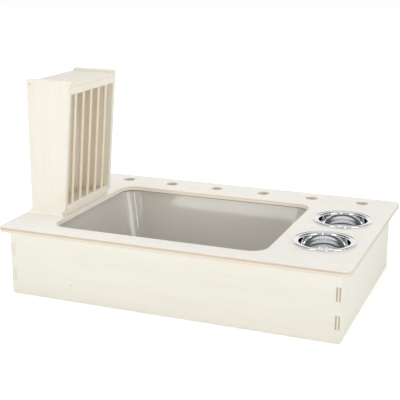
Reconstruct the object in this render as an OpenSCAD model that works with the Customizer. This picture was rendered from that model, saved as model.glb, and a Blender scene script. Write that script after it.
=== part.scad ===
// Hay feeder box. A low plywood box carries a lift-off top plate. The plate holds a hay rack
// with a hinged lid, two steel bowls and a row of holes, and opens over a plastic litter tray.
// Millimetres. X runs left to right, Y from front to back, Z up from the floor.

/* [Plywood] */
// Thickness of every plywood board
ply = 9; // [8:0.5:10]

/* [Top plate] */
// Width of the top plate, left to right
plate_w = 660; // [650:2:690]
// Depth of the top plate, front to back
plate_d = 448; // [442:2:470]
// Radius of the plate's four corners
plate_r = 15; // [5:1:25]
// How far the plate stands out past the box all round
overhang = 17; // [10:1:20]

/* [Box] */
// Height of the four box panels
box_h = 124; // [112:1:140]
// Fingers and gaps up each corner joint
fingers = 5; // [3:2:7]

/* [Tray opening] */
// Width of the opening over the litter tray
opening_w = 414; // [380:2:416]
// Depth of the opening over the litter tray
opening_d = 320; // [290:2:322]
// Radius of the opening's corners
opening_r = 32; // [24:2:44]
// Plate left of the opening
opening_left = 87; // [84:1:92]
// Plate in front of the opening
opening_front = 43; // [41:1:52]

/* [Litter tray] */
// Gap from the opening's edge out to the tray's inner wall
tray_reveal = 5; // [4:0.5:6]
// Wall and floor thickness of the tray
tray_wall = 2.5; // [2:0.25:3]
// Width of the tray's turned-out rim
tray_rim = 7; // [5:0.5:8]
// Radius of the tray's corners at the rim, inside
tray_r = 42; // [34:1:50]
// Radius of the tray's corners at its floor, inside
tray_foot_r = 42; // [20:1:50]
// How far each wall leans in from rim to floor
tray_draft = 25; // [20:0.5:28]
// Clear height between the tray's rim and the plate
tray_gap = 2; // [1:0.5:4]

/* [Bowls] */
// Outer diameter of a bowl's rim
bowl_d = 111; // [100:1:116]
// Depth of a bowl below the plate's top face
bowl_depth = 37; // [28:1:50]
// Distance of both bowls from the plate's right edge
bowl_right = 78; // [74:1:84]
// Place of the front bowl along Y
bowl_front_y = -85; // [-95:1:-75]
// Place of the rear bowl along Y
bowl_rear_y = 56; // [46:1:66]

/* [Snack holes] */
// Number of holes along the back edge
hole_n = 6; // [4:1:6]
// Diameter of each hole
hole_d = 25; // [18:1:30]
// Distance between neighbouring holes
hole_pitch = 104; // [95:1:108]
// Distance of the row from the plate's back edge
hole_back = 37; // [30:1:38]

/* [Hay rack] */
// Length of the rack over both end panels
rack_len = 186; // [160:2:200]
// Distance of the rack's front face from the plate's front edge
rack_front = 97; // [80:1:110]
// Distance of the rack's outer edge from the plate's left edge
rack_left = 16; // [14:1:20]
// Width of an end panel at its foot
rack_foot = 72.6; // [66:0.2:80]
// Height of the end panels
rack_h = 251.5; // [200:0.5:300]
// Angle at which the barred side leans out
rack_lean = 4.4; // [0:0.2:8]
// Height of the rails above and below the bars
rail_h = 12; // [11:0.5:16]
// Number of bars
bar_n = 5; // [3:1:5]
// Diameter of a bar
bar_d = 6; // [5:0.5:7]
// Distance between the middles of neighbouring bars
bar_pitch = 30; // [26:0.5:32]
// Depth of the lid's top face below the end panels
lid_sink = 5; // [3:0.5:8]
// Diameter of the lid's two hinge pins
pin_d = 5; // [4:0.5:5.5]

/* [Hidden] */
// Curved faces
$fn = 64;
// Overshoot of a cutting shape
cut = 1;

// Box
box_w = plate_w - 2 * overhang;
box_d = plate_d - 2 * overhang;
finger_h = box_h / fingers;
plate_top = box_h + ply;

// Battens and blocks glued under the plate, and the blocks' play inside the box
batten_w = 12;
batten_h = 18;
batten_z = box_h - batten_h;
block_len = 55;
block_play = 1.5;

// Tray opening
opening_x = -plate_w / 2 + opening_left + opening_w / 2;
opening_y = -plate_d / 2 + opening_front + opening_d / 2;

// Litter tray, measured inside at the rim
tray_in_w = opening_w + 2 * tray_reveal;
tray_in_d = opening_d + 2 * tray_reveal;
tray_top = box_h - tray_gap;
tray_lip_h = 7;
tray_lip_t = 1.6;
rim_half_w = tray_in_w / 2 + tray_wall + tray_rim;
rim_half_d = tray_in_d / 2 + tray_wall + tray_rim;
tray_stop_gap = 2;

// Bowls
bowl_x = plate_w / 2 - bowl_right;
bowl_sheet = 0.8;
bowl_bead = 1.6;
bowl_rim_w = 10.5;
bowl_lip_r = 3.5;
bowl_flange_z = 2.6;
bowl_wall_r = bowl_d / 2 - bowl_rim_w;
bowl_foot_r = 14;
bowl_hole_play = 1.7;

// Hay rack: its base board, and the slanted plane of the bars
rack_x = -plate_w / 2 + rack_left;
rack_y0 = -plate_d / 2 + rack_front;
rack_y1 = rack_y0 + rack_len;
rack_in_y0 = rack_y0 + ply;
rack_in_len = rack_len - 2 * ply;
base_out = 6;
base_back = 6.6;
base_w = rack_foot + base_out - base_back;
base_top = plate_top + ply;
rack_top = base_top + rack_h;
foot_r = 8;
crown_r = 2.5;

// Rails and bars
rail_low_top = base_top + rail_h;
lid_low = rack_top - lid_sink - ply;
rail_high_low = lid_low - rail_h;
tenon = [5, 4, 7];
tenon_play = 0.1;
bar_sink = 6;
bar_play = 0.05;

// Lid and its hinge
lid_play = 1;
pin_x = rack_x + 7.5;
pin_z = lid_low + ply / 2;
pin_len = 30;
pin_run = 0.05;
pin_press = 0.02;
lid_swing = sqrt(pow(pin_x - rack_x, 2) + pow(ply / 2, 2));
back_top = pin_z - lid_swing - 1.2;

// Wood screws, driven from below
screw_d = 3.5;
screw_head_d = 7;
screw_head_h = 2.4;
base_screw_len = 16;
end_screw_len = 30;
screw_play = 0.1;
base_screw_x = rack_x - base_out + base_w / 2;
base_screw_y = [rack_y0 + 32, (rack_y0 + rack_y1) / 2, rack_y1 - 32];
end_screw_x = [rack_x + 18, rack_x + 52];
end_screw_y = [rack_y0 + ply / 2, rack_y1 - ply / 2];

// Points of an arc about centre c, from angle a0 to a1
function arc(c, r, a0, a1, n = 8) =
    [for (i = [0:n]) let (a = a0 + (a1 - a0) * i / n) [c[0] + r * cos(a), c[1] + r * sin(a)]];

// X of the barred side's outer plane at height z
function lean_x(z) = rack_x + rack_foot + (z - base_top) * tan(rack_lean);

// X of the middle of the rails at height z, where the bars stand
function bar_x(z) = lean_x(z) - ply / 2 / cos(rack_lean);

// Y of bar i, counted from the front
function bar_y(i) = (rack_y0 + rack_y1) / 2 + (i - (bar_n + 1) / 2) * bar_pitch;

// X of snack hole i, counted from the left
function hole_x(i) = (i - (hole_n + 1) / 2) * hole_pitch;

// Flat rectangle with true round corners
module rounded_rect(w, d, r) {
    square([w - 2 * r, d], center = true);
    square([w, d - 2 * r], center = true);
    for (sx = [-1, 1], sy = [-1, 1])
        translate([sx * (w / 2 - r), sy * (d / 2 - r)])
            circle(r = r);
}

// Block that widens upward by draft on each side, with corner radius foot_r below and r above.
// Each corner is a low cone below and one above, whose tips lie inside the block.
module drafted_block(half_w, half_d, r, foot_r, draft, h) {
    hull()
        for (sx = [-1, 1], sy = [-1, 1]) {
            translate([sx * (half_w - draft - foot_r), sy * (half_d - draft - foot_r), 0])
                cylinder(h = 1, r1 = foot_r, r2 = 0, $fn = 48);
            translate([sx * (half_w - r), sy * (half_d - r), h - 1])
                cylinder(h = 1, r1 = 0, r2 = r, $fn = 48);
        }
}

// Long panel, notched at both ends where the side panels' fingers come through
module long_panel(y) {
    difference() {
        translate([-box_w / 2, y, 0])
            cube([box_w, ply, box_h]);
        for (side = [-1, 1], i = [1:2:fingers - 2])
            translate([side * box_w / 2, y + ply / 2, (i + 0.5) * finger_h])
                cube([2 * ply, ply + 2 * cut, finger_h], center = true);
    }
}

// Side panel, whose fingers reach through the long panels
module side_panel(x) {
    difference() {
        translate([x, -box_d / 2, 0])
            cube([ply, box_d, box_h]);
        for (side = [-1, 1], i = [0:2:fingers - 1])
            translate([x + ply / 2, side * box_d / 2, (i + 0.5) * finger_h])
                cube([ply + 2 * cut, 2 * ply, finger_h], center = true);
    }
}

module front_panel() {
    color("#e9e4d6") long_panel(-box_d / 2);
}

module back_panel() {
    color("#e9e4d6") long_panel(box_d / 2 - ply);
}

module left_panel() {
    color("#e6dfcf") side_panel(-box_w / 2);
}

module right_panel() {
    color("#e6dfcf") side_panel(box_w / 2 - ply);
}

// Wood screw that stands on its head, with a cross recess in the head
module screw(length) {
    difference() {
        union() {
            cylinder(h = screw_head_h, d1 = screw_head_d, d2 = screw_d);
            cylinder(h = length - 4, d = screw_d);
            translate([0, 0, length - 4])
                cylinder(h = 4, d1 = screw_d, d2 = 0.8);
        }
        for (turn = [0, 90])
            rotate([0, 0, turn])
                translate([0, 0, 0.5])
                    cube([3.6, 0.9, 1.8], center = true);
    }
}

// Hole for a screw that stands on its head at z = 0
module screw_hole(length) {
    translate([0, 0, -cut])
        cylinder(h = length + cut, d = screw_d + 2 * screw_play);
    translate([0, 0, -0.01])
        cylinder(h = screw_head_h, d1 = screw_head_d + 3 * screw_play, d2 = screw_d + 2 * screw_play);
}

module at_base_screws() {
    for (y = base_screw_y)
        translate([base_screw_x, y, box_h])
            children();
}

module at_end_screws() {
    for (x = end_screw_x, y = end_screw_y)
        translate([x, y, plate_top])
            children();
}

module top_plate() {
    color("#f3eee6")
        difference() {
            translate([0, 0, box_h])
                linear_extrude(ply)
                    rounded_rect(plate_w, plate_d, plate_r);
            translate([opening_x, opening_y, box_h - cut])
                linear_extrude(ply + 2 * cut)
                    rounded_rect(opening_w, opening_d, opening_r);
            for (y = [bowl_front_y, bowl_rear_y])
                translate([bowl_x, y, box_h - cut])
                    cylinder(h = ply + 2 * cut, r = bowl_wall_r + bowl_sheet + bowl_hole_play);
            for (i = [1:hole_n])
                translate([hole_x(i), plate_d / 2 - hole_back, box_h - cut])
                    cylinder(h = ply + 2 * cut, d = hole_d);
            at_base_screws()
                screw_hole(base_screw_len);
        }
}

// Batten glued under the plate, from corner a with footprint size
module batten(a, size) {
    translate([a[0], a[1], batten_z])
        cube([size[0], size[1], batten_h]);
}

// Block in one corner of the box, on side -1 or 1 of each axis. Four of them keep the plate in place.
module locating_block(side_x, side_y) {
    x = side_x * (box_w / 2 - ply - block_play - batten_w / 2) - batten_w / 2;
    y = side_y * (box_d / 2 - ply - block_play - block_len / 2) - block_len / 2;
    color("#ead9b4") batten([x, y], [batten_w, block_len]);
}

// The tray battens stop the tray from sliding away from the opening
module tray_batten_left() {
    x = opening_x - rim_half_w - tray_stop_gap - batten_w;
    color("#ead9b4") batten([x, opening_y - opening_d / 2], [batten_w, opening_d]);
}

module tray_batten_right() {
    x = opening_x + rim_half_w + tray_stop_gap;
    color("#ead9b4") batten([x, opening_y - opening_d / 2], [batten_w, opening_d]);
}

module tray_batten_back() {
    y = opening_y + rim_half_d + tray_stop_gap;
    color("#ead9b4") batten([opening_x - opening_w / 2, y], [opening_w, batten_w]);
}

// Outer shape of the tray without its rim
module tray_outside() {
    drafted_block(tray_in_w / 2 + tray_wall, tray_in_d / 2 + tray_wall, tray_r + tray_wall,
        tray_foot_r + tray_wall, tray_draft, tray_top);
}

module litter_tray() {
    rim_r = tray_r + tray_wall + tray_rim;
    color("#a9a7a2")
        translate([opening_x, opening_y, 0])
            difference() {
                union() {
                    tray_outside();
                    translate([0, 0, tray_top - tray_lip_h])
                        drafted_block(rim_half_w, rim_half_d, rim_r, rim_r, 0, tray_lip_h);
                }
                translate([0, 0, tray_wall])
                    drafted_block(tray_in_w / 2, tray_in_d / 2, tray_r, tray_foot_r,
                        tray_draft, tray_top - tray_wall + 0.01);
                difference() {
                    translate([0, 0, tray_top - tray_lip_h - cut])
                        drafted_block(rim_half_w - tray_lip_t, rim_half_d - tray_lip_t,
                            rim_r - tray_lip_t, rim_r - tray_lip_t, 0, tray_lip_h - tray_wall + cut);
                    tray_outside();
                }
            }
}

// Section of a bowl's sheet: up the inside, round the rolled rim and down the outside.
// Height 0 is the plate's top face.
function bowl_section() =
    let (
        foot = [bowl_wall_r - bowl_foot_r, bowl_foot_r + bowl_sheet - bowl_depth],
        lip = [bowl_wall_r + bowl_lip_r, bowl_flange_z - bowl_lip_r],
        bead = [bowl_d / 2 - bowl_bead, bowl_bead],
        over = asin((bowl_flange_z - bowl_bead) / bowl_bead),
        under = asin((bowl_flange_z - bowl_sheet - bowl_bead) / bowl_bead)
    )
    concat(
        [[0, bowl_sheet - bowl_depth]],
        arc(foot, bowl_foot_r, -90, 0),
        arc(lip, bowl_lip_r, 180, 90),
        arc(bead, bowl_bead, 180 - over, under - 180, 16),
        arc(lip, bowl_lip_r - bowl_sheet, 90, 180),
        arc(foot, bowl_foot_r + bowl_sheet, 0, -90),
        [[0, -bowl_depth]]
    );

module bowl(y) {
    color("#c9ccd0")
        translate([bowl_x, y, plate_top])
            rotate_extrude($fn = 96)
                polygon(bowl_section());
}

module front_bowl() {
    bowl(bowl_front_y);
}

module rear_bowl() {
    bowl(bowl_rear_y);
}

module rack_base() {
    color("#efe8da")
        difference() {
            translate([rack_x - base_out, rack_y0, plate_top])
                cube([base_w, rack_len, ply]);
            at_base_screws()
                screw_hole(base_screw_len + 0.5);
            at_end_screws()
                screw_hole(end_screw_len);
        }
}

// Outline of an end panel in X and Z, with rounded corners
module end_outline() {
    polygon(concat(
        [[rack_x, base_top]],
        arc([lean_x(base_top) - foot_r, base_top + foot_r], foot_r, -90, -rack_lean),
        arc([lean_x(rack_top) - crown_r, rack_top - crown_r], crown_r, -rack_lean, 90, 4),
        arc([rack_x + crown_r, rack_top - crown_r], crown_r, 90, 180, 4)
    ));
}

// Stand children, drawn in X and Z, upright with their near face at y
module upright(y, depth) {
    translate([0, y + depth, 0])
        rotate([90, 0, 0])
            linear_extrude(depth)
                children();
}

// A rail's tenon, or the mortise it sits in when play is over 0
module tenon_block(z, y, play) {
    translate([bar_x(z), y, z])
        cube([tenon[0] + 2 * play, 2 * (tenon[1] + play), tenon[2] + 2 * play], center = true);
}

// End panel with mortises in its inner face and the hinge pin's bore
module end_panel(y, inner_y) {
    color("#efe8da")
        difference() {
            upright(y, ply)
                end_outline();
            for (z = [base_top + rail_h / 2, lid_low - rail_h / 2])
                tenon_block(z, inner_y, tenon_play);
            translate([pin_x, y - cut, pin_z])
                rotate([-90, 0, 0])
                    cylinder(h = ply + 2 * cut, d = pin_d + 2 * pin_run);
            at_end_screws()
                screw_hole(end_screw_len + 0.5);
        }
}

module rack_front_end() {
    end_panel(rack_y0, rack_in_y0);
}

module rack_rear_end() {
    end_panel(rack_y1 - ply, rack_y1 - ply);
}

module rack_back() {
    color("#efe8da")
        translate([rack_x, rack_in_y0, base_top])
            cube([ply, rack_in_len, back_top - base_top]);
}

// Rail between heights z0 and z1, with a tenon at each end and holes for the bars
module rail(z0, z1) {
    back = ply / cos(rack_lean);
    color("#f0dfc0")
        difference() {
            union() {
                upright(rack_in_y0, rack_in_len)
                    polygon([
                        [lean_x(z0) - back, z0], [lean_x(z0), z0],
                        [lean_x(z1), z1], [lean_x(z1) - back, z1]
                    ]);
                for (y = [rack_in_y0, rack_in_y0 + rack_in_len])
                    tenon_block((z0 + z1) / 2, y, 0);
            }
            for (i = [1:bar_n])
                bar_solid(i, bar_play);
        }
}

module rack_bottom_rail() {
    rail(base_top, rail_low_top);
}

module rack_top_rail() {
    rail(rail_high_low, lid_low);
}

// Bar i, sunk into both rails, or its hole when play is over 0
module bar_solid(i, play) {
    z0 = rail_low_top - bar_sink - play;
    z1 = rail_high_low + bar_sink + play;
    translate([bar_x(z0), bar_y(i), z0])
        rotate([0, rack_lean, 0])
            cylinder(h = (z1 - z0) / cos(rack_lean), d = bar_d + 2 * play);
}

module rack_bar(i) {
    if (i <= bar_n)
        color("#f2dcb2") bar_solid(i, 0);
}

// Move children to the outer end of each hinge pin, pointing into the rack
module at_pins() {
    for (end = [[rack_y0, -90], [rack_y1, 90]])
        translate([pin_x, end[0], pin_z])
            rotate([end[1], 0, 0])
                children();
}

module rack_lid() {
    color("#f1ece2")
        difference() {
            translate([rack_x, rack_in_y0 + lid_play, lid_low])
                cube([lean_x(lid_low) - rack_x, rack_in_len - 2 * lid_play, ply]);
            at_pins()
                cylinder(h = pin_len + 0.5, d = pin_d + 2 * pin_press);
        }
}

module lid_hinge_pins() {
    color("#c8a878")
        at_pins()
            cylinder(h = pin_len, d = pin_d);
}

module rack_base_screws() {
    color("#c9b060") at_base_screws() screw(base_screw_len);
}

module end_panel_screws() {
    color("#c9b060") at_end_screws() screw(end_screw_len);
}

front_panel();
back_panel();
left_panel();
right_panel();
top_plate();
locating_block(-1, -1);  // locating_block_1
locating_block(1, -1);  // locating_block_2
locating_block(1, 1);  // locating_block_3
locating_block(-1, 1);  // locating_block_4
tray_batten_left();
tray_batten_right();
tray_batten_back();
litter_tray();
front_bowl();
rear_bowl();
rack_base();
rack_front_end();
rack_rear_end();
rack_back();
rack_bottom_rail();
rack_top_rail();
rack_bar(1);  // rack_bar_1
rack_bar(2);  // rack_bar_2
rack_bar(3);  // rack_bar_3
rack_bar(4);  // rack_bar_4
rack_bar(5);  // rack_bar_5
rack_lid();
lid_hinge_pins();
rack_base_screws();
end_panel_screws();
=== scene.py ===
"""Looks of a plywood hay feeder box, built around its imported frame.

Each sub-assembly is a class: the box panels, the top plate with its battens, the hay rack, the litter
tray and the bowls. Sizes are metres in the frame's axes, X to the right, Y to the back and Z up from the
floor. A size that the frame's own boxes give is read from them, and the others are fields in
millimetres times MM.
"""

import logging
import math
from dataclasses import dataclass, field
from enum import Enum
from typing import Callable, Iterable, Sequence

import bmesh
import bpy
from mathutils import Matrix, Vector


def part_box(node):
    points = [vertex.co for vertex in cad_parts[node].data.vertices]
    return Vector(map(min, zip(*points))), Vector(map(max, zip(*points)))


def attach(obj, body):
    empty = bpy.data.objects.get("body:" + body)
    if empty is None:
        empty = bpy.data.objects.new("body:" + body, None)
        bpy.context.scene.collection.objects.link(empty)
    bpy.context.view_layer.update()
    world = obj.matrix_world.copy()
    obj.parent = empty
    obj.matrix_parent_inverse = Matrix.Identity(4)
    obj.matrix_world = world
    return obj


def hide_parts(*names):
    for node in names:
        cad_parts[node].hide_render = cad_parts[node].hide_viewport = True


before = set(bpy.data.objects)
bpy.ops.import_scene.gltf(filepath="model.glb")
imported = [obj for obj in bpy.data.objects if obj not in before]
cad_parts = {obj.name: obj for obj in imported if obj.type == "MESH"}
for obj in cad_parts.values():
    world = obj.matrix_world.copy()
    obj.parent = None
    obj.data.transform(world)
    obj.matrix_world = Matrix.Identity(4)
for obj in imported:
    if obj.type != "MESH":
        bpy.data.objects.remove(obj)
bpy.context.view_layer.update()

LOG = logging.getLogger("hay_feeder_box")
MM = 0.001
Point2 = tuple[float, float]
Colour = tuple[float, float, float, float]
# How far inside a floor's rounding its last ring lies
FLOOR_INSET = 10 * MM
# Radius of the arrises of the box's panels and the rack's ends
PANEL_EASE = 0.25 * MM


def paint(red: float, green: float, blue: float) -> Colour:
    """Turn a colour as a picture shows it into the linear one that shaders take.

    Args:
        red: Red from 0 to 255.
        green: Green from 0 to 255.
        blue: Blue from 0 to 255.

    Returns:
        Red, green, blue and alpha from 0 to 1.
    """
    shown = (red / 255, green / 255, blue / 255)
    linear = [c / 12.92 if c <= 0.04045 else ((c + 0.055) / 1.055) ** 2.4 for c in shown]
    return (linear[0], linear[1], linear[2], 1.0)


def grey(level: float) -> Colour:
    """A plain grey that reflects or sends out the share level of white."""
    return (level, level, level, 1.0)


@dataclass(frozen=True)
class Wire:
    """A node's output that takes part in Python expressions on values."""

    graph: "Graph"
    socket: bpy.types.NodeSocket

    def __add__(self, other: "Wire | float") -> "Wire":
        """The sum, as a Math node."""
        return self.graph.maths("ADD", self, other)

    def __sub__(self, other: "Wire | float") -> "Wire":
        """The difference, as a Math node."""
        return self.graph.maths("SUBTRACT", self, other)

    def __rsub__(self, other: float) -> "Wire":
        """The difference from a plain number."""
        return self.graph.maths("SUBTRACT", other, self)

    def __mul__(self, other: "Wire | float") -> "Wire":
        """The product, as a Math node."""
        return self.graph.maths("MULTIPLY", self, other)

    def __truediv__(self, other: "Wire | float") -> "Wire":
        """The quotient, as a Math node."""
        return self.graph.maths("DIVIDE", self, other)

    def __pow__(self, other: "Wire | float") -> "Wire":
        """The power, as a Math node."""
        return self.graph.maths("POWER", self, other)

    def __abs__(self) -> "Wire":
        """The value without its sign."""
        return self.graph.maths("ABSOLUTE", self)

    __radd__ = __add__
    __rmul__ = __mul__

    def fade(self, start: float, end: float) -> "Wire":
        """Turn the value into a mask that runs smoothly from 0 at start to 1 at end.

        Args:
            start: Value at which the mask is 0.
            end: Value at which the mask is 1. It may be under start.

        Returns:
            The mask.
        """
        inputs = {"Value": self, "From Min": start, "From Max": end}
        return self.graph.node("ShaderNodeMapRange", {"interpolation_type": "SMOOTHSTEP"}, inputs)


Feed = Wire | float | tuple[float, ...]


class Grain(Enum):
    """Direction of a board's grain, as the axis that patterns are stretched along."""

    RIGHT = (1, 0, 0)
    BACK = (0, 1, 0)
    UP = (0, 0, 1)

    def stretch(self, share: float) -> tuple[float, float, float]:
        """Scale factors that leave share of the pattern's speed along the grain."""
        along, across, up = (share if on else 1.0 for on in self.value)
        return (along, across, up)


class Graph:
    """The nodes of a material or of the world, with a method for each kind of step they need."""

    def __init__(self, owner: bpy.types.Material | bpy.types.World, shader: str) -> None:
        """Switch the owner's nodes on and keep its shader.

        Args:
            owner: The material or the world.
            shader: Type of the shader node that it starts with.
        """
        owner.use_nodes = True
        self.owner = owner
        self.tree = owner.node_tree
        self.shader = next(n for n in self.tree.nodes if n.type == shader)

    @classmethod
    def of_material(cls, name: str) -> "Graph":
        """Make a material with this name and return its nodes."""
        return cls(bpy.data.materials.new(name), "BSDF_PRINCIPLED")

    def feed(self, socket: bpy.types.NodeSocket, value: Feed) -> None:
        """Link a wire to an input, or set the input's own value.

        Args:
            socket: The input.
            value: A wire, a number, or a vector or colour.
        """
        if isinstance(value, Wire):
            self.tree.links.new(value.socket, socket)
        else:
            socket.default_value = value

    def node(
        self, kind: str, settings: dict | None = None, inputs: dict | None = None, out: int | str = 0
    ) -> Wire:
        """Add a node.

        Args:
            kind: The node's type.
            settings: Its properties, set first.
            inputs: Values or wires by the input's name or number.
            out: Name or number of the output to return.

        Returns:
            The chosen output.
        """
        made = self.tree.nodes.new(kind)
        for key, value in (settings or {}).items():
            setattr(made, key, value)
        for key, value in (inputs or {}).items():
            self.feed(made.inputs[key], value)
        return Wire(self, made.outputs[out])

    def maths(self, operation: str, *values: Feed) -> Wire:
        """Add a Math node on one to three values."""
        return self.node("ShaderNodeMath", {"operation": operation}, dict(enumerate(values)))

    def vector(self, operation: str, *values: Feed, out: int | str = 0) -> Wire:
        """Add a Vector Math node on one or two vectors."""
        return self.node("ShaderNodeVectorMath", {"operation": operation}, dict(enumerate(values)), out)

    def mix(self, share: Feed, first: Feed, second: Feed) -> Wire:
        """Mix two colours.

        Args:
            share: How much of the second colour shows, from 0 to 1.
            first: The colour at share 0.
            second: The colour at share 1.

        Returns:
            The mixed colour.
        """
        return self.node("ShaderNodeMix", {"data_type": "RGBA"}, {0: share, 6: first, 7: second}, 2)

    def place(self, seed: float = 0.0) -> Wire:
        """The point on the object in metres, shifted so that no two boards share a figure."""
        here = self.node("ShaderNodeTexCoord", out="Object")
        return self.vector("ADD", here, (seed, 1.7 * seed, 0.6 * seed)) if seed else here

    def noise(self, where: Wire, scale: float, detail: float = 2.0, distortion: float = 0.0) -> Wire:
        """Add a noise texture.

        Args:
            where: The point to read it at.
            scale: Patches for each metre.
            detail: Octaves of finer noise.
            distortion: How much the patches swirl.

        Returns:
            The noise from 0 to 1.
        """
        inputs = {"Vector": where, "Scale": scale, "Detail": detail, "Distortion": distortion}
        return self.node("ShaderNodeTexNoise", {}, inputs)

    def surface(self, colour: Feed, roughness: Feed, height: Wire | None = None, rise: float = 0.0) -> None:
        """Feed the shader with what changes over the surface.

        Args:
            colour: Base colour.
            roughness: Roughness from 0 to 1.
            height: Relief from 0 to 1, if there is any.
            rise: Height of the relief in metres.
        """
        self.feed(self.shader.inputs["Base Color"], colour)
        self.feed(self.shader.inputs["Roughness"], roughness)
        if height is not None:
            bump = self.node("ShaderNodeBump", {}, {"Strength": 1.0, "Distance": rise, "Height": height})
            self.feed(self.shader.inputs["Normal"], bump)

    def constant(self, **values: float | tuple[float, ...]) -> bpy.types.Material:
        """Set inputs of the shader that are alike all over the surface.

        Args:
            **values: Each input's value, by its name with _ for a space.

        Returns:
            The finished material.
        """
        for name, value in values.items():
            self.shader.inputs[name.replace("_", " ")].default_value = value
        return self.owner


@dataclass(frozen=True)
class Knot:
    """A pin knot in a board's face."""

    centre: tuple[float, float, float]
    radius: float


@dataclass(frozen=True)
class PlyFace:
    """Sanded birch veneer on the broad faces of a board."""

    pale: Colour
    warm: Colour
    grain: Grain
    seed: float
    knots: tuple[Knot, ...] = ()

    def material(self, name: str) -> bpy.types.Material:
        """Make the veneer's material.

        Args:
            name: The material's name.

        Returns:
            The material.
        """
        graph = Graph.of_material(name)
        here = graph.place(self.seed)
        flow = graph.vector("MULTIPLY", here, self.grain.stretch(0.07))
        fine = graph.vector("MULTIPLY", here, self.grain.stretch(0.03))
        drift = graph.noise(flow, 8.0, 2.0, 0.6)
        streak = graph.noise(flow, 150.0, 3.0, 0.3)
        hair = graph.noise(fine, 900.0, 2.0)
        rings = abs(graph.maths("SINE", graph.noise(flow, 16.0, 1.0, 0.5) * 46.0)) ** 8.0
        pore = hair.fade(0.64, 0.76)
        share = drift.fade(0.3, 0.75) * 0.4 + streak.fade(0.35, 0.8) * 0.25 + rings * 0.12 + pore * 0.35
        colour = graph.mix(share, self.pale, self.warm)
        for knot in self.knots:
            colour = self.with_knot(graph, colour, knot)
        rough = 0.52 + streak * 0.12 + pore * 0.1
        graph.surface(colour, rough, streak * 0.35 + hair * 0.65, 0.00006)
        return graph.constant(Specular_IOR_Level=0.3)

    def with_knot(self, graph: Graph, colour: Wire, knot: Knot) -> Wire:
        """Darken the colour where the knot is.

        Args:
            graph: The material's nodes.
            colour: The colour so far.
            knot: The knot to add.

        Returns:
            The colour with the knot in it.
        """
        away = graph.vector("DISTANCE", graph.place(), knot.centre, out="Value") / knot.radius
        ragged = away + graph.noise(graph.place(), 900.0) * 0.8
        halo = graph.mix(ragged.fade(3.2, 1.2) * 0.35, colour, paint(206, 178, 140))
        return graph.mix(ragged.fade(1.5, 0.9), halo, paint(92, 66, 48))


@dataclass(frozen=True)
class Band:
    """A cross-laid ply seen as a brown line on a board's edge. Sizes are shares of the thickness."""

    centre: float
    half: float
    strength: float


@dataclass(frozen=True)
class PlyEdge:
    """Cut edge of a board, with its plies as light and brown lines.

    On the edges that face along X the lines fade towards the side colour by side_share. On the plate this
    stands for the plies that are end grain elsewhere and run along those edges;
    on the rack the side colour is lighter than its veneer, a painted highlight on the edges that face along
    X.
    """

    light: Colour
    brown: Colour
    bands: tuple[Band, ...]
    side: Colour
    side_share: float
    axis: int
    low: float
    thickness: float
    seed: float

    def material(self, name: str) -> bpy.types.Material:
        """Make the edge's material.

        Args:
            name: The material's name.

        Returns:
            The material.
        """
        graph = Graph.of_material(name)
        here = graph.place(self.seed)
        through = graph.node("ShaderNodeSeparateXYZ", {}, {0: graph.place()}, self.axis)
        wander = graph.noise(here, 45.0, 2.0) - 0.5
        level = (through - self.low) / self.thickness + wander * 0.07
        patch = graph.noise(here, 28.0, 2.0)
        shade: Wire | float = 0.0
        for band in self.bands:
            line = abs(level - band.centre).fade(band.half + 0.05, band.half - 0.05)
            shade = line * (patch * 0.6 + 0.7) * band.strength + shade
        speck = graph.noise(here, 1500.0, 2.0)
        void = graph.noise(here, 95.0, 1.0).fade(0.74, 0.8) * abs(level - 0.62).fade(0.12, 0.04)
        colour = graph.mix(shade + (speck - 0.5) * 0.35, self.light, self.brown)
        colour = graph.mix(void * 0.7, colour, paint(120, 92, 68))
        # Edges that face along X turn to the side colour: long-grain plies on the plate, a painted highlight
        # on the rack.
        if self.side_share:
            normal = graph.node("ShaderNodeTexCoord", out="Normal")
            facing = abs(graph.node("ShaderNodeSeparateXYZ", {}, {0: normal}, 0)).fade(0.45, 0.95)
            colour = graph.mix(facing * self.side_share, colour, self.side)
        graph.surface(colour, 0.7 + speck * 0.1, speck * 0.5 + shade * -0.5, 0.00012)
        return graph.constant(Specular_IOR_Level=0.2)


@dataclass(frozen=True)
class Timber:
    """Solid wood of a batten, rail, dowel or pin."""

    pale: Colour
    dark: Colour
    grain: Grain
    seed: float
    ring_pitch: float = 2.2 * MM

    def material(self, name: str) -> bpy.types.Material:
        """Make the timber's material, whose rings lie about an axis outside the piece.

        Args:
            name: The material's name.

        Returns:
            The material.
        """
        graph = Graph.of_material(name)
        here = graph.place(self.seed)
        flow = graph.vector("MULTIPLY", here, self.grain.stretch(0.05))
        bend = graph.noise(flow, 22.0, 2.0) * 2.4
        reach = graph.vector("LENGTH", flow, out="Value") / self.ring_pitch
        year = graph.maths("FRACT", reach + bend)
        late = year.fade(0.35, 0.95) * year.fade(1.0, 0.95)
        fibre = graph.noise(flow, 1100.0, 2.0)
        share = late * 0.5 + fibre.fade(0.4, 0.75) * 0.3 + graph.noise(flow, 30.0) * 0.2
        colour = graph.mix(share, self.pale, self.dark)
        graph.surface(colour, 0.5 + fibre * 0.15, fibre, 0.00008)
        return graph.constant(Specular_IOR_Level=0.35)


@dataclass(frozen=True)
class MouldedPlastic:
    """Glossy grey polypropylene with a fine moulded skin and a few scuffs."""

    colour: Colour
    worn: Colour

    def material(self, name: str) -> bpy.types.Material:
        """Make the plastic's material.

        Args:
            name: The material's name.

        Returns:
            The material.
        """
        graph = Graph.of_material(name)
        here = graph.place()
        cloud = graph.noise(here, 14.0, 3.0)
        skin = graph.noise(here, 1400.0, 1.0)
        sweep = graph.vector("MULTIPLY", here, (0.08, 0.12, 1.0))
        scuff = graph.noise(sweep, 420.0, 3.0, 0.4).fade(0.6, 0.72)
        colour = graph.mix(cloud * 0.5 + scuff * 0.35, self.colour, self.worn)
        rough = 0.04 + cloud * 0.04 + skin * 0.03 + scuff * 0.06
        graph.surface(colour, rough, skin * 0.01 + cloud * 0.99, 0.0001)
        return graph.constant(IOR=1.5)


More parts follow.
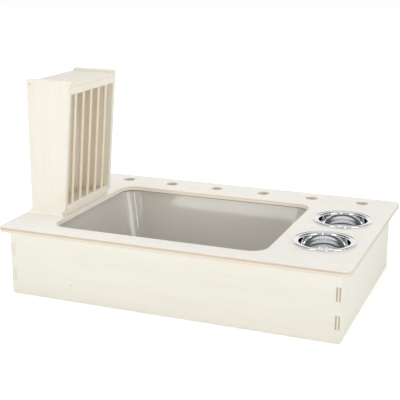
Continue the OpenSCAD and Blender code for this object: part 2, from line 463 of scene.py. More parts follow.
@dataclass(frozen=True)
class SpunSteel:
    """Polished stainless sheet, with the faint rings left by spinning about the bowl's centre."""

    centre: Vector

    def material(self, name: str) -> bpy.types.Material:
        """Make the steel's material.

        Args:
            name: The material's name.

        Returns:
            The material.
        """
        graph = Graph.of_material(name)
        arm = graph.vector("SUBTRACT", graph.place(), tuple(self.centre))
        radius = graph.vector("LENGTH", graph.vector("MULTIPLY", arm, (1.0, 1.0, 0.0)), out="Value")
        spot = graph.node("ShaderNodeCombineXYZ", {}, {0: radius, 2: 0.0})
        ring = graph.noise(spot, 2200.0, 2.0)
        haze = graph.noise(graph.place(), 60.0, 3.0)
        colour = graph.mix(haze, paint(240, 241, 242), paint(226, 227, 228))
        graph.surface(colour, 0.015 + haze * 0.03 + ring * 0.02, ring, 0.000002)
        return graph.constant(Metallic=1.0)


@dataclass(frozen=True)
class ZincPlate:
    """Yellow zinc plating of the wood screws."""

    colour: Colour

    def material(self, name: str) -> bpy.types.Material:
        """Make the plating's material.

        Args:
            name: The material's name.

        Returns:
            The material.
        """
        graph = Graph.of_material(name)
        stain = graph.noise(graph.place(), 700.0, 3.0)
        colour = graph.mix(stain.fade(0.3, 0.8), self.colour, paint(170, 140, 84))
        graph.surface(colour, 0.28 + stain * 0.2)
        return graph.constant(Metallic=1.0)


class Plane(Enum):
    """How a flat board lies: the frame's axes of its length, its width and its thickness."""

    LEVEL = (0, 1, 2)
    FRONT = (0, 2, 1)
    SIDE = (1, 2, 0)

    def point(self, u: float, v: float, w: float) -> Vector:
        """The point in the frame at u along, v across and w through the board."""
        made = Vector((0.0, 0.0, 0.0))
        for axis, value in zip(self.value, (u, v, w)):
            made[axis] = value
        return made


def arc(centre: Point2, radius: float, start: float, end: float, steps: int) -> list[Point2]:
    """Points of an arc.

    Args:
        centre: The arc's centre.
        radius: Its radius.
        start: Angle of the first point, in degrees.
        end: Angle of the last point, in degrees.
        steps: Number of chords.

    Returns:
        The points, one more than steps.
    """
    turns = [math.radians(start + (end - start) * i / steps) for i in range(steps + 1)]
    return [(centre[0] + radius * math.cos(a), centre[1] + radius * math.sin(a)) for a in turns]


def circle(centre: Point2, radius: float, steps: int) -> list[Point2]:
    """Points of a full circle, counted anticlockwise."""
    return arc(centre, radius, 0, 360, steps)[:-1]


def rounded_rectangle(low: Point2, high: Point2, radius: float, steps: int) -> list[Point2]:
    """Outline of a rectangle with round corners, counted anticlockwise.

    Args:
        low: Its lowest corner.
        high: Its highest corner.
        radius: Radius of the corners.
        steps: Chords on each corner.

    Returns:
        The outline's points.
    """
    x0, y0, x1, y1 = low[0] + radius, low[1] + radius, high[0] - radius, high[1] - radius
    corners = (((x1, y1), 0), ((x0, y1), 90), ((x0, y0), 180), ((x1, y0), 270))
    return [p for centre, start in corners for p in arc(centre, radius, start, start + 90, steps)]


def grown(points: Sequence[Point2], distance: float) -> list[Point2]:
    """Move an anticlockwise outline's edges outward, or inward if distance is under 0.

    Args:
        points: The outline.
        distance: How far each edge moves.

    Returns:
        As many points, on the moved outline.
    """
    moved = []
    for before, here, after in zip((points[-1], *points[:-1]), points, (*points[1:], points[0])):
        normals = []
        for a, b in ((before, here), (here, after)):
            length = math.hypot(b[0] - a[0], b[1] - a[1])
            normals.append(((b[1] - a[1]) / length, (a[0] - b[0]) / length))
        (ax, ay), (bx, by) = normals
        reach = distance / (1 + ax * bx + ay * by)
        moved.append((here[0] + reach * (ax + bx), here[1] + reach * (ay + by)))
    return moved


def braced(points: Sequence[Point2], least: float = 3 * MM, gap: float = 0.5 * MM) -> list[Point2]:
    """Add points close to both ends of each long stretch, so that smooth shading leaves the stretch flat.

    Args:
        points: A line of points.
        least: Length from which a stretch is long.
        gap: Distance of the added points from the ends.

    Returns:
        The line with the added points.
    """
    made = [points[0]]
    for a, b in zip(points, points[1:]):
        length = math.dist(a, b)
        if length > least:
            for t in (gap / length, 1 - gap / length):
                made.append((a[0] + (b[0] - a[0]) * t, a[1] + (b[1] - a[1]) * t))
        made.append(b)
    return made


@dataclass(frozen=True)
class Cut:
    """A closed edge of a board: its outer outline, or a hole through it."""

    points: list[Point2]
    hole: bool = False
    slot: int = 1
    sink: float = 0.0
    sink_depth: float = 0.0

    def levels(self, thickness: float, ease: float, steps: int = 3) -> list[Point2]:
        """The edge's section through the board, with both arrises eased.

        Args:
            thickness: The board's thickness.
            ease: Radius of the arrises.
            steps: Chords on each arris.

        Returns:
            Pairs of height and of how far the outline is grown there.
        """
        sign = 1 if self.hole else -1
        turns = [math.radians(90 * i / steps) for i in range(steps + 1)]
        eased = [(ease * (1 - math.cos(a)), sign * ease * (1 - math.sin(a))) for a in turns]
        foot = [(0.0, self.sink), (self.sink_depth, 0.0)] if self.sink else eased
        head = [(thickness - height, growth) for height, growth in reversed(eased)]
        return foot + head


class Mesh:
    """A mesh that is built from rings of points."""

    def __init__(self) -> None:
        """Start with no points."""
        self.data = bmesh.new()

    def ring(self, points: Iterable[Vector]) -> list[bmesh.types.BMVert]:
        """Add a ring of points and return its vertices."""
        return [self.data.verts.new(p) for p in points]

    def skin(self, rings: Sequence[list[bmesh.types.BMVert]], slot: int = 0) -> None:
        """Join neighbouring rings of one length with four-sided faces.

        Args:
            rings: The rings in order.
            slot: Material slot of the faces.
        """
        for lower, upper in zip(rings, rings[1:]):
            for i in range(len(lower)):
                j = (i + 1) % len(lower)
                self.data.faces.new((lower[i], lower[j], upper[j], upper[i])).material_index = slot

    def cap(self, rings: Sequence[list[bmesh.types.BMVert]], slot: int = 0) -> None:
        """Fill a flat face whose outline is the first ring and whose holes are the others.

        Args:
            rings: The outline and the holes, all in one plane.
            slot: Material slot of the face.
        """
        edges = []
        for ring in rings:
            for a, b in zip(ring, ring[1:] + ring[:1]):
                edges.append(self.data.edges.get((a, b)) or self.data.edges.new((a, b)))
        filled = bmesh.ops.triangle_fill(self.data, use_beauty=True, edges=edges)["geom"]
        for part in filled:
            if isinstance(part, bmesh.types.BMFace):
                part.material_index = slot

    def point_cap(self, ring: list[bmesh.types.BMVert], tip: Vector, slot: int = 0) -> None:
        """Close a ring with triangles to one point."""
        point = self.data.verts.new(tip)
        for a, b in zip(ring, ring[1:] + ring[:1]):
            self.data.faces.new((a, b, point)).material_index = slot

    def finish(
        self, name: str, materials: Sequence[bpy.types.Material], sharp: float = 20.0
    ) -> bpy.types.Object:
        """Make an object of the mesh.

        Args:
            name: The object's name.
            materials: Its material slots.
            sharp: Least angle in degrees between two faces whose edge stays sharp.

        Returns:
            The object.
        """
        bmesh.ops.recalc_face_normals(self.data, faces=self.data.faces)
        made = bpy.data.meshes.new(name)
        self.data.to_mesh(made)
        self.data.free()
        for material in materials:
            made.materials.append(material)
        made.shade_smooth()
        made.set_sharp_from_angle(angle=math.radians(sharp))
        piece = bpy.data.objects.new(name, made)
        bpy.context.scene.collection.objects.link(piece)
        return piece


@dataclass(frozen=True)
class Seat:
    """Where a piece belongs: the nodes it stands for, its body and its material slot in the record."""

    nodes: tuple[str, ...]
    body: str
    slot: str

    def hold(self, piece: bpy.types.Object) -> None:
        """Tie a finished piece to its nodes and body, and report it.

        Args:
            piece: The piece.
        """
        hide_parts(*self.nodes)
        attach(piece, self.body)
        LOG.info("%s stands for %s on body %s", piece.name, ", ".join(self.nodes), self.body)


@dataclass(frozen=True)
class PlyTone:
    """Colours of one kind of plywood: its veneer and its cut edge."""

    pale: Colour
    warm: Colour
    edge: Colour
    brown: Colour
    bands: tuple[Band, ...]
    side: Colour = (1.0, 1.0, 1.0, 1.0)
    side_share: float = 0.0


def two_bands(centre: float, half: float, strength: float) -> tuple[Band, Band]:
    """The two brown lines of a five-ply edge, alike on both sides of its middle."""
    return (Band(centre, half, strength), Band(1.0 - centre, half, strength))


# The long panels' veneer is the side panels' veneer made two levels darker: painted shade on the front and
# back of the box.
LONG_SHADED_FACE = (paint(235, 233, 223), paint(227, 222, 209))
SIDE_FACE = (paint(237, 235, 225), paint(229, 224, 211))
RACK_FACE = (paint(238, 234, 223), paint(231, 224, 210))
PLATE_TONE = PlyTone(
    paint(246, 244, 238),
    paint(240, 235, 224),
    edge=paint(236, 225, 209),
    brown=paint(205, 188, 173),
    bands=(Band(0.7, 0.23, 0.85), Band(0.15, 0.1, 0.25)),
    side=paint(222, 219, 206),
    side_share=0.8,
)
# The edges of the opening and the holes are the same plywood as the plate's outer edge, painted lighter and
# with fainter lines: painted light on inner edges that get less light than the outer edge.
OPENING_LIT_TONE = PlyTone(
    *RACK_FACE,
    edge=paint(255, 246, 231),
    brown=paint(186, 162, 132),
    bands=(Band(0.62, 0.12, 0.25),),
)
LONG_TONE = PlyTone(
    *LONG_SHADED_FACE,
    edge=paint(236, 232, 221),
    brown=paint(208, 198, 180),
    bands=two_bands(0.22, 0.12, 0.2),
)
LEFT_TONE = PlyTone(
    *SIDE_FACE,
    edge=paint(234, 229, 216),
    brown=paint(190, 180, 162),
    bands=two_bands(0.2, 0.14, 0.35),
)
RIGHT_TONE = PlyTone(
    *SIDE_FACE,
    edge=paint(230, 222, 207),
    brown=paint(180, 165, 143),
    bands=two_bands(0.2, 0.14, 0.95),
)
RACK_TONE = PlyTone(
    *RACK_FACE,
    edge=paint(243, 238, 229),
    brown=paint(214, 203, 186),
    bands=two_bands(0.22, 0.12, 0.3),
    # A colour lighter than the veneer: painted highlight on the edges that face along X, such as the leaning
    # edges of the rack's ends.
    side=paint(253, 245, 230),
    side_share=0.6,
)


@dataclass
class Board:
    """A flat piece of plywood or timber, cut to an outline."""

    node: str
    body: str
    slot: str
    plane: Plane
    cuts: list[Cut]
    ease: float = 0.4 * MM

    def build(self, materials: Sequence[bpy.types.Material]) -> None:
        """Build the board between its node's own faces.

        Args:
            materials: One for the broad faces, then those of the cut edges.
        """
        low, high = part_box(self.node)
        start = low[self.plane.value[2]]
        thickness = high[self.plane.value[2]] - start
        mesh = Mesh()
        bottoms, tops = [], []
        for cut in self.cuts:
            rings = []
            for height, growth in cut.levels(thickness, self.ease):
                outline = grown(cut.points, growth)
                rings.append(mesh.ring(self.plane.point(u, v, start + height) for u, v in outline))
            mesh.skin(rings, cut.slot)
            bottoms.append(rings[0])
            tops.append(rings[-1])
        mesh.cap(bottoms)
        mesh.cap(tops)
        piece = mesh.finish(f"{self.node}_board", materials)
        Seat((self.node,), self.body, self.slot).hold(piece)

    def plywood(
        self, tones: Sequence[PlyTone], grain: Grain, seed: float, knots: tuple[Knot, ...] = ()
    ) -> None:
        """Build the board in plywood.

        Args:
            tones: The plywood's colours, and those of the second kind of edge if it has one.
            grain: Direction of the face veneer's grain.
            seed: A number that gives the board a figure of its own.
            knots: Pin knots in its faces.
        """
        low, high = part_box(self.node)
        axis = self.plane.value[2]
        made = [PlyFace(tones[0].pale, tones[0].warm, grain, seed, knots).material(f"{self.node}_veneer")]
        for i, tone in enumerate(tones):
            place = (axis, low[axis], high[axis] - low[axis], seed)
            edge = PlyEdge(tone.edge, tone.brown, tone.bands, tone.side, tone.side_share, *place)
            made.append(edge.material(f"{self.node}_plies_{i + 1}"))
        self.build(made)

    def timber(self, pale: Colour, dark: Colour, grain: Grain, seed: float) -> None:
        """Build the board in solid wood, with the same finish on faces and edges.

        Args:
            pale: Colour of the early wood.
            dark: Colour of the late wood.
            grain: Direction of the grain.
            seed: A number that gives the piece a figure of its own.
        """
        wood = Timber(pale, dark, grain, seed).material(f"{self.node}_timber")
        self.build([wood, wood])


def rectangle(node: str, plane: Plane) -> list[Point2]:
    """A node's box seen along its thickness, as an outline.

    Args:
        node: The node.
        plane: How the board lies.

    Returns:
        Its four corners, anticlockwise.
    """
    low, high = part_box(node)
    u, v = plane.value[:2]
    return [(low[u], low[v]), (high[u], low[v]), (high[u], high[v]), (low[u], high[v])]


@dataclass
class BoxPanels:
    """The four finger-jointed panels that stand on the floor."""

    fingers: int = 5
    ply: float = 9 * MM
    knot: Knot = field(default_factory=lambda: Knot((-0.1886, -0.207, 0.0316), 0.9 * MM))

    def outline(self, node: str, plane: Plane, first: int) -> list[Point2]:
        """Outline of a panel, with every second finger cut away at both ends.

        Args:
            node: The panel's node.
            plane: How it lies.
            first: Number of the lowest finger that is cut away, 0 or 1.

        Returns:
            The outline, anticlockwise.
        """
        (left, bottom), _, (right, top), _ = rectangle(node, plane)
        rise = (top - bottom) / self.fingers
        side = []
        for i in range(self.fingers):
            inset = self.ply if i % 2 == first else 0.0
            side += [(inset, bottom + i * rise), (inset, bottom + (i + 1) * rise)]
        rising = [(right - inset, v) for inset, v in side]
        falling = [(left + inset, v) for inset, v in reversed(side)]
        return rising + falling

    def build(self) -> None:
        """Build and dress the four panels."""
        panels = (
            ("front_panel", Plane.FRONT, 1, LONG_TONE, Grain.RIGHT, (self.knot,)),
            ("back_panel", Plane.FRONT, 1, LONG_TONE, Grain.RIGHT, ()),
            ("left_panel", Plane.SIDE, 0, LEFT_TONE, Grain.UP, ()),
            ("right_panel", Plane.SIDE, 0, RIGHT_TONE, Grain.UP, ()),
        )
        for i, (node, plane, first, tone, grain, knots) in enumerate(panels):
            cuts = [Cut(self.outline(node, plane, first))]
            board = Board(node, "box", "box_plywood", plane, cuts, ease=PANEL_EASE)
            board.plywood((tone,), grain, 3.1 + 2.3 * i, knots)


@dataclass
class TopPlate:
    """The lift-off top, with the opening over the tray, the bowls' holes and the row of snack holes."""

    corner: float = 15 * MM
    opening_low: Point2 = (-243 * MM, -181 * MM)
    opening_high: Point2 = (171 * MM, 139 * MM)
    opening_corner: float = 32 * MM
    bowl_centres: tuple[Point2, ...] = ((252 * MM, -85 * MM), (252 * MM, 56 * MM))
    bowl_hole: float = 47.5 * MM
    snack_hole: float = 12.5 * MM
    snack_pitch: float = 104 * MM
    snack_count: int = 6
    snack_back: float = 37 * MM
    screw_rows: tuple[float, ...] = (-95 * MM, -34 * MM, 27 * MM)
    screw_x: float = -284 * MM
    screw_hole: float = 1.85 * MM
    screw_sink: float = 1.8 * MM
    screw_sink_depth: float = 2.4 * MM
    batten_ease: float = 0.8 * MM

    def cuts(self) -> list[Cut]:
        """The plate's outline and all its holes.

        Returns:
            The cuts, the outline first.
        """
        low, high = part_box("top_plate")
        made = [Cut(rounded_rectangle(low[:2], high[:2], self.corner, 12))]
        opening = rounded_rectangle(self.opening_low, self.opening_high, self.opening_corner, 20)
        made.append(Cut(opening, hole=True, slot=2))
        made += [Cut(circle(c, self.bowl_hole, 96), hole=True, slot=2) for c in self.bowl_centres]
        for i in range(self.snack_count):
            x = (i - (self.snack_count - 1) / 2) * self.snack_pitch
            made.append(Cut(circle((x, high.y - self.snack_back), self.snack_hole, 56), hole=True, slot=2))
        for y in self.screw_rows:
            screw = circle((self.screw_x, y), self.screw_hole, 24)
            made.append(Cut(screw, True, 1, self.screw_sink, self.screw_sink_depth))
        return made

    def build(self) -> None:
        """Build the plate, the battens round the tray and the locating blocks."""
        plate = Board("top_plate", "top", "plate_plywood", Plane.LEVEL, self.cuts())
        plate.plywood((PLATE_TONE, OPENING_LIT_TONE), Grain.RIGHT, 0.9)
        strips = [
            ("tray_batten_left", Grain.BACK),
            ("tray_batten_right", Grain.BACK),
            ("tray_batten_back", Grain.RIGHT),
        ]
        strips += [(f"locating_block_{i}", Grain.BACK) for i in range(1, 5)]
        for i, (node, grain) in enumerate(strips):
            cuts = [Cut(rectangle(node, Plane.LEVEL))]
            board = Board(node, "top", "pine_batten", Plane.LEVEL, cuts, self.batten_ease)
            board.timber(paint(236, 214, 172), paint(206, 168, 112), grain, 5.3 + 1.9 * i)


@dataclass
class HayRack:
    """The rack on its base board: two end panels, the back, two rails, five bars and the hinged lid."""

    lean: float = math.radians(4.4)
    foot: float = 72.6 * MM
    foot_round: float = 8 * MM
    crown_round: float = 2.5 * MM
    ply: float = 9 * MM
    bar_radius: float = 3 * MM
    pin_radius: float = 2.5 * MM
    pin_play: float = 0.05 * MM
    pin_length: float = 30 * MM
    pin_x: float = -306.5 * MM
    pin_z: float = 384 * MM
    rod_ease: float = 0.4 * MM
    rod_steps: int = 32
    rail_wood: tuple[Colour, Colour] = (paint(252, 246, 235), paint(248, 238, 222))
    bar_wood: tuple[Colour, Colour] = (paint(254, 240, 214), paint(247, 224, 190))

    def __post_init__(self) -> None:
        """Read the rack's place from the frame."""
        self.low, self.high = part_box("rack_front_end")

    def edge_x(self, z: float) -> float:
        """X of the barred side's outer plane at height z."""
        return self.low.x + self.foot + (z - self.low.z) * math.tan(self.lean)

    def end_outline(self) -> list[Point2]:
        """Outline of an end panel in X and Z, anticlockwise.

        Returns:
            The outline's points.
        """
        tilt = math.degrees(self.lean)
        foot, crown = self.foot_round, self.crown_round
        foot_centre = (self.edge_x(self.low.z) - foot, self.low.z + foot)
        crown_centre = (self.edge_x(self.high.z) - crown, self.high.z - crown)
        outer_centre = (self.low.x + crown, self.high.z - crown)
        points = [(self.low.x, self.low.z)] + arc(foot_centre, foot, -90, -tilt, 10)
        points += arc(crown_centre, crown, -tilt, 90, 6)
        return points + arc(outer_centre, crown, 90, 180, 6)

    def rail_outline(self, node: str) -> list[Point2]:
        """Section of a rail in X and Z, a slanted strip as thick as the plywood.

        Args:
            node: The rail's node.

        Returns:
            Its four corners, anticlockwise.
        """
        low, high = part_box(node)
        back = self.ply / math.cos(self.lean)
        near, far = self.edge_x(low.z), self.edge_x(high.z)
        return [(near - back, low.z), (near, low.z), (far, high.z), (far - back, high.z)]

    def add_rod(self, mesh: Mesh, ends: tuple[Vector, Vector], radius: float) -> None:
        """Add a closed round bar with eased ends to a mesh.

        Args:
            mesh: The mesh.
            ends: The middle of each end.
            radius: The bar's radius.
        """
        ease = self.rod_ease
        axis = ends[1] - ends[0]
        turn = axis.to_track_quat("Z", "Y")
        section = [(0.0, radius - ease), (ease * 0.3, radius - ease * 0.3), (ease, radius)]
        section += [(axis.length - height, r) for height, r in reversed(section)]
        rings = []
        for height, r in section:
            points = circle((0, 0), r, self.rod_steps)
            rings.append(mesh.ring(ends[0] + turn @ Vector((x, y, height)) for x, y in points))
        mesh.skin(rings)
        mesh.cap([rings[0]])
        mesh.cap([rings[-1]])

    def build_plain(self, node: str, body: str, plane: Plane, grain: Grain, seed: float) -> None:
        """Build a plywood board that fills its node's box."""
        cuts = [Cut(rectangle(node, plane))]
        Board(node, body, "rack_plywood", plane, cuts).plywood((RACK_TONE,), grain, seed)

    def build_boards(self) -> None:
        """Build the base board, the end panels, the back and the lid."""
        self.build_plain("rack_base", "top", Plane.LEVEL, Grain.BACK, 12.1)
        bore = circle((self.pin_x, self.pin_z), self.pin_radius + self.pin_play, self.rod_steps)
        for i, node in enumerate(("rack_front_end", "rack_rear_end")):
            cuts = [Cut(self.end_outline()), Cut(bore, hole=True)]
            board = Board(node, "top", "rack_plywood", Plane.FRONT, cuts, PANEL_EASE)
            board.plywood((RACK_TONE,), Grain.UP, 14.7 + 2.9 * i)
        self.build_plain("rack_back", "top", Plane.SIDE, Grain.UP, 21.3)
        self.build_plain("rack_lid", "lid", Plane.LEVEL, Grain.BACK, 23.9)

    def build_bars(self) -> None:
        """Build the rails and the bars."""
        low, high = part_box("rack_back")
        for i, node in enumerate(("rack_bottom_rail", "rack_top_rail")):
            rail = Rail(node, self.rail_outline(node), low.y, high.y)
            rail.build(Timber(*self.rail_wood, Grain.BACK, 31.0 + i).material(f"{node}_timber"))
        for i in range(1, 6):
            node = f"rack_bar_{i}"
            low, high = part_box(node)
            swing = self.bar_radius * math.cos(self.lean)
            rise = self.bar_radius * math.sin(self.lean)
            y = (low.y + high.y) / 2
            ends = (Vector((low.x + swing, y, low.z + rise)), Vector((high.x - swing, y, high.z - rise)))
            wood = Timber(*self.bar_wood, Grain.UP, 40.0 + 1.3 * i, 1.1 * MM).material(f"{node}_timber")
            rod = Mesh()
            self.add_rod(rod, ends, self.bar_radius)
            Seat((node,), "top", "dowel_wood").hold(rod.finish(f"{node}_rod", [wood]))

    def build_pins(self) -> None:
        """Build the two hinge pins as one piece."""
        low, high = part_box("lid_hinge_pins")
        pins = Mesh()
        for y0, y1 in ((low.y, low.y + self.pin_length), (high.y - self.pin_length, high.y)):
            ends = (Vector((self.pin_x, y0, self.pin_z)), Vector((self.pin_x, y1, self.pin_z)))
            self.add_rod(pins, ends, self.pin_radius)
        timber = Timber(paint(232, 216, 192), paint(208, 184, 150), Grain.BACK, 52.0, 0.9 * MM)
        wood = timber.material("hinge_pin_timber")
        Seat(("lid_hinge_pins",), "lid", "pin_wood").hold(pins.finish("lid_hinge_pin_pair", [wood]))

    def build_screws(self) -> None:
        """Copy the screws with smooth shading."""
        zinc = ZincPlate(paint(222, 196, 128)).material("yellow_zinc")
        for node in ("rack_base_screws", "end_panel_screws"):
            copied = Mesh()
            copied.data.from_mesh(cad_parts[node].data)
            bmesh.ops.remove_doubles(copied.data, verts=copied.data.verts, dist=0.001 * MM)
            piece = copied.finish(f"{node}_set", [zinc], sharp=28.0)
            Seat((node,), "top", "screw_metal").hold(piece)

    def build(self) -> None:
        """Build and dress the whole rack."""
        self.build_boards()
        self.build_bars()
        self.build_pins()
        self.build_screws()


@dataclass
class Rail:
    """A slanted strip between the end panels."""

    node: str
    outline: list[Point2]
    start: float
    end: float
    ease: float = 0.5 * MM

    def build(self, wood: bpy.types.Material) -> None:
        """Build the strip from its section.

        Args:
            wood: Its material.
        """
        mesh = Mesh()
        rings = []
        for y, growth in Cut(self.outline).levels(self.end - self.start, self.ease):
            corners = grown(self.outline, growth)
            softened = [p for i in range(4) for p in self.softened(corners, i)]
            rings.append(mesh.ring(Vector((x, self.start + y, z)) for x, z in softened))
        mesh.skin(rings)
        mesh.cap([rings[0]])
        mesh.cap([rings[-1]])
        Seat((self.node,), "top", "rail_wood").hold(mesh.finish(f"{self.node}_strip", [wood]))

    def softened(self, corners: list[Point2], i: int) -> list[Point2]:
        """Two points in place of corner i, a little way along both edges.

        Args:
            corners: The four corners.
            i: Number of the corner.

        Returns:
            The two points.
        """
        here = Vector(corners[i])
        made = []
        for other in (corners[i - 1], corners[(i + 1) % 4]):
            step = (Vector(other) - here).normalized() * self.ease
            made.append(tuple(here + step))
        return made


@dataclass
class LitterTray:
    """The grey tray: a drafted shell with round corners, a turned-out rim and a short skirt."""

    wall: float = 2.5 * MM
    rim: float = 7 * MM
    corner: float = 42 * MM
    draft: float = 25 * MM
    skirt: float = 7 * MM
    skirt_wall: float = 1.6 * MM
    floor_round: float = 9 * MM
    crest_round: float = 1.6 * MM
    edge_round: float = 1.5 * MM
    corner_steps: int = 18
    braced_from: float = 100 * MM

    def __post_init__(self) -> None:
        """Read the tray's place from the frame."""
        low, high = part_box("litter_tray")
        out = self.wall + self.rim
        self.inside_low = (low.x + out, low.y + out)
        self.inside_high = (high.x - out, high.y - out)
        self.top = high.z
        self.bottom = low.z

    def ring(self, mesh: Mesh, growth: float, height: float) -> list[bmesh.types.BMVert]:
        """Add a level ring.

        Args:
            mesh: The tray's mesh.
            growth: Distance out from the inner edge of the rim.
            height: Height above the tray's foot.

        Returns:
            The ring's vertices.
        """
        low = (self.inside_low[0] - growth, self.inside_low[1] - growth)
        high = (self.inside_high[0] + growth, self.inside_high[1] + growth)
        outline = rounded_rectangle(low, high, self.corner + max(growth, 0.0), self.corner_steps)
        outline = braced([*outline, outline[0]], self.braced_from)[:-1]
        return mesh.ring(Vector((x, y, self.bottom + height)) for x, y in outline)

    def section(self) -> list[Point2]:
        """The wall's section, from the floor inside, over the rim, to the foot outside.

        Returns:
            Pairs of growth and height.
        """
        top = self.top - self.bottom
        lean = math.atan2(self.draft, top - self.wall)
        turn = math.degrees(lean)
        floor = self.fillet(-self.draft, self.wall, self.floor_round, lean)
        crest_centre = (self.crest_round * math.cos(lean), top - self.crest_round)
        crest = arc(crest_centre, self.crest_round, 180 - turn, 90, 6)
        out = self.wall + self.rim
        edge = arc((out - self.edge_round, top - self.edge_round), self.edge_round, 90, 0, 5)
        skirt = [(out, top - self.skirt), (out - self.skirt_wall, top - self.skirt)]
        skirt.append((out - self.skirt_wall, top - self.wall))
        under = (self.wall - self.draft * self.wall / top, top - self.wall)
        foot_round = self.floor_round + self.wall
        foot = self.fillet(self.wall - self.draft, 0.0, foot_round, math.atan2(self.draft, top))
        middle = floor[0][0] - FLOOR_INSET
        inside = [(middle, self.wall), *floor, *crest]
        return braced([*inside, *edge, *skirt, under, *foot[::-1], (middle, 0.0)])

    def fillet(self, corner: float, level: float, radius: float, lean: float) -> list[Point2]:
        """Round the corner between a level floor and the leaning wall.

        Args:
            corner: Growth at which floor and wall would meet.
            level: Height of the floor.
            radius: The rounding's radius.
            lean: The wall's angle from upright.

        Returns:
            Points from the floor up to the wall.
        """
        back = radius * math.tan((math.pi / 2 - lean) / 2)
        return arc((corner - back, level + radius), radius, -90, -math.degrees(lean), 9)

    def build(self) -> None:
        """Build and dress the tray."""
        mesh = Mesh()
        rings = [self.ring(mesh, growth, height) for growth, height in self.section()]
        mesh.skin(rings)
        mesh.cap([rings[0]])
        mesh.cap([rings[-1]])
        plastic = MouldedPlastic(paint(205, 202, 194), paint(213, 210, 203)).material("grey_polypropylene")
        piece = mesh.finish("litter_tray_shell", [plastic], sharp=35.0)
        Seat(("litter_tray",), "tray", "grey_plastic").hold(piece)


@dataclass
class Bowl:
    """A spun steel bowl with a rolled rim that rests on the plate."""

    node: str
    body: str
    wall_radius: float = 45 * MM
    foot_round: float = 14 * MM
    sheet: float = 0.8 * MM
    lip: float = 3.5 * MM
    bead: float = 1.6 * MM
    flange: float = 2.6 * MM
    steps: int = 128

    def __post_init__(self) -> None:
        """Read the bowl's place from the frame."""
        low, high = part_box(self.node)
        self.centre = Vector(((low.x + high.x) / 2, (low.y + high.y) / 2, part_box("top_plate")[1].z))
        self.radius = (high.x - low.x) / 2
        self.depth = self.centre.z - low.z

    def section(self) -> list[Point2]:
        """The sheet's section as radius and height above the plate, up the inside and down the outside.

        Returns:
            The section's points.
        """
        foot = (self.wall_radius - self.foot_round, self.foot_round + self.sheet - self.depth)
        lip = (self.wall_radius + self.lip, self.flange - self.lip)
        bead = (self.radius - self.bead, self.bead)
        over = math.degrees(math.asin((self.flange - self.bead) / self.bead))
        under = math.degrees(math.asin((self.flange - self.sheet - self.bead) / self.bead))
        inside = arc(foot, self.foot_round, -90, 0, 14) + arc(lip, self.lip, 180, 90, 12)
        roll = arc(bead, self.bead, 180 - over, under - 180, 26)
        outside = arc(lip, self.lip - self.sheet, 90, 180, 10)
        outside += arc(foot, self.foot_round + self.sheet, 0, -90, 12)
        middle = foot[0] - FLOOR_INSET
        return braced([(middle, inside[0][1]), *inside, *roll, *outside, (middle, outside[-1][1])])

    def build(self) -> None:
        """Build and dress the bowl."""
        mesh = Mesh()
        rings = []
        for radius, height in self.section():
            points = circle((self.centre.x, self.centre.y), radius, self.steps)
            rings.append(mesh.ring(Vector((x, y, self.centre.z + height)) for x, y in points))
        mesh.skin(rings)
        for ring in (rings[0], rings[-1]):
            mesh.point_cap(ring, Vector((self.centre.x, self.centre.y, ring[0].co.z)))
        steel = SpunSteel(self.centre).material(f"{self.node}_steel")
        piece = mesh.finish(f"{self.node}_sheet", [steel], sharp=50.0)
        Seat((self.node,), self.body, "polished_steel").hold(piece)


@dataclass(frozen=True)
class Softbox:
    """An upright soft lamp that faces the box.

    Its angles are degrees as seen from the box, with azimuth 0 at the front.
    """

    name: str
    azimuth: float
    low: float
    high: float
    width: float
    radiance: float
    distance: float = 3.0
    mirrored: bool = True

    def light(self) -> None:
        """Hang the lamp."""
        turn = math.radians(self.azimuth)
        bottom, top = (self.distance * math.tan(math.radians(angle)) for angle in (self.low, self.high))
        wide = 2 * self.distance * math.tan(math.radians(self.width / 2))
        place = Vector((self.distance * math.sin(turn), -self.distance * math.cos(turn), (bottom + top) / 2))
        lamp = hang_lamp(self.name, place, Vector((0.0, 0.0, place.z)), (wide, top - bottom), self.radiance)
        lamp.visible_glossy = self.mirrored


def hang_lamp(name: str, place: Vector, aim: Vector, size: Point2, radiance: float) -> bpy.types.Object:
    """Add an oblong soft lamp.

    Args:
        name: The lamp's name.
        place: Where it hangs.
        aim: The point it faces.
        size: Its width and height.
        radiance: Its brightness, where 1 is white.

    Returns:
        The lamp.
    """
    data = bpy.data.lights.new(name, "AREA")
    data.shape = "RECTANGLE"
    data.size, data.size_y = size
    data.energy = radiance * math.pi * size[0] * size[1]
    lamp = bpy.data.objects.new(name, data)
    lamp.location = place
    lamp.rotation_euler = (aim - place).to_track_quat("-Z", "Y").to_euler()
    bpy.context.scene.collection.objects.link(lamp)
    return lamp


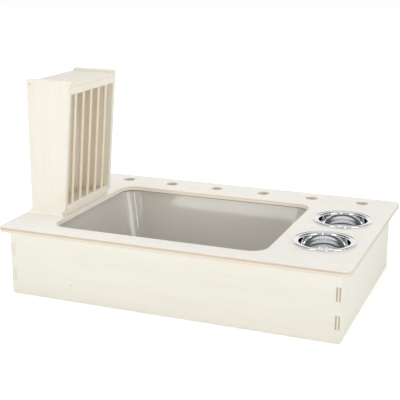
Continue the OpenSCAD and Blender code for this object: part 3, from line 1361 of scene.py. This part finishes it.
@dataclass
class Studio:
    """The camera, the lamps, the pale floor and the white surroundings."""

    eye: tuple[float, float, float] = (0.61237, -1.57579, 0.63233)
    yaw: float = 0.379715
    pitch: float = -0.272133
    roll: float = 0.001595
    lens: float = 82.084
    sensor: float = 36.0
    floor_half: float = 15.0
    floor_drop: float = 0.2 * MM
    near_glow: float = 0.33
    far_glow: float = 0.6
    room_level: float = 0.44
    ceiling_level: float = 0.15
    top_level: float = 2.3
    top_height: float = 3.0
    top_side: float = 2.2
    softboxes: tuple[Softbox, ...] = (
        Softbox("front_left_softbox", -20.2, 3.0, 30.0, 22.0, 3.7, 1.8),
        Softbox("front_right_softbox", 63.0, 0.0, 20.0, 27.0, 4.8),
        Softbox("middle_strip", 26.0, 0.0, 20.0, 4.5, 9.0),
        Softbox("right_softbox", 88.0, 0.0, 16.0, 10.0, 1.5),
        Softbox("back_fill", 180.0, 8.0, 32.0, 60.0, 1.3, mirrored=False),
        Softbox("left_fill", -100.0, 8.0, 32.0, 50.0, 1.3, mirrored=False),
    )

    def add_camera(self) -> None:
        """Put the camera where the photograph was taken from."""
        level = Matrix.Rotation(self.yaw, 4, "Z") @ Matrix.Rotation(math.pi / 2 + self.pitch, 4, "X")
        data = bpy.data.cameras.new("camera")
        data.lens = self.lens
        data.sensor_width = self.sensor
        camera = bpy.data.objects.new("camera", data)
        camera.matrix_world = Matrix.Translation(self.eye) @ level @ Matrix.Rotation(self.roll, 4, "Z")
        bpy.context.scene.collection.objects.link(camera)
        bpy.context.scene.camera = camera

    def seen(self, graph: Graph) -> Wire:
        """1 where the camera, a mirror or glass looks, and 0 where only light travels."""
        rays = [graph.node("ShaderNodeLightPath", out=name) for name in ("Is Camera Ray", "Is Glossy Ray")]
        clear = graph.node("ShaderNodeLightPath", out="Is Transmission Ray")
        return graph.maths("MAXIMUM", graph.maths("MAXIMUM", *rays), clear)

    def add_floor(self) -> None:
        """Lay a pale floor that shows white and keeps the object's soft shadow."""
        half = self.floor_half
        mesh = Mesh()
        outline = rounded_rectangle((-half, -half), (half, half), 1.0, 4)
        mesh.cap([mesh.ring(Vector((x, y, 0)) for x, y in outline)])
        graph = Graph.of_material("pale_floor")
        speckle = graph.noise(graph.place(), 40.0, 2.0)
        colour = graph.mix(speckle, paint(238, 238, 237), paint(242, 242, 241))
        graph.surface(colour, 0.9)
        away = graph.vector("LENGTH", graph.place(), out="Value").fade(0.3, 2.0)
        glow = graph.mix(away, grey(self.near_glow), grey(self.far_glow))
        shown = graph.mix(self.seen(graph), grey(0.0), glow)
        graph.feed(graph.shader.inputs["Emission Color"], shown)
        floor = mesh.finish("floor", [graph.constant(Specular_IOR_Level=0.0, Emission_Strength=1.0)])
        floor.location.z = -self.floor_drop

    def add_world(self) -> None:
        """Surround the scene with white, dimmer as light and darker at the ceiling that metal mirrors."""
        world = bpy.data.worlds.new("white_room")
        bpy.context.scene.world = world
        graph = Graph(world, "BACKGROUND")
        mirror = graph.node("ShaderNodeLightPath", out="Is Glossy Ray")
        way = graph.node("ShaderNodeTexCoord", out="Generated")
        rise = graph.node("ShaderNodeSeparateXYZ", {}, {0: way}, 2)
        dark = rise.fade(0.36, 0.52) * rise.fade(0.94, 0.78) * mirror * (1.0 - self.ceiling_level)
        strength = self.seen(graph) * (1.0 - self.room_level) + self.room_level - dark
        graph.feed(graph.shader.inputs["Color"], grey(1.0))
        graph.feed(graph.shader.inputs["Strength"], strength)

    def build(self) -> None:
        """Make the camera, the light and the floor."""
        bpy.context.scene.view_settings.view_transform = "Standard"
        self.add_camera()
        self.add_world()
        self.add_floor()
        for softbox in self.softboxes:
            softbox.light()
        above = Vector((0.0, 0.0, self.top_height))
        size = (self.top_side, self.top_side)
        overhead = hang_lamp("overhead_softbox", above, Vector(), size, self.top_level)
        overhead.visible_glossy = False


def main() -> None:
    """Build the scene and report each piece."""
    logging.basicConfig(level=logging.INFO, format="%(name)s: %(message)s")
    Studio().build()
    parts: list[Callable[[], None]] = [
        BoxPanels().build,
        TopPlate().build,
        HayRack().build,
        LitterTray().build,
        Bowl("front_bowl", "bowl_front").build,
        Bowl("rear_bowl", "bowl_rear").build,
    ]
    for build in parts:
        build()


if __name__ == "__main__":
    main()
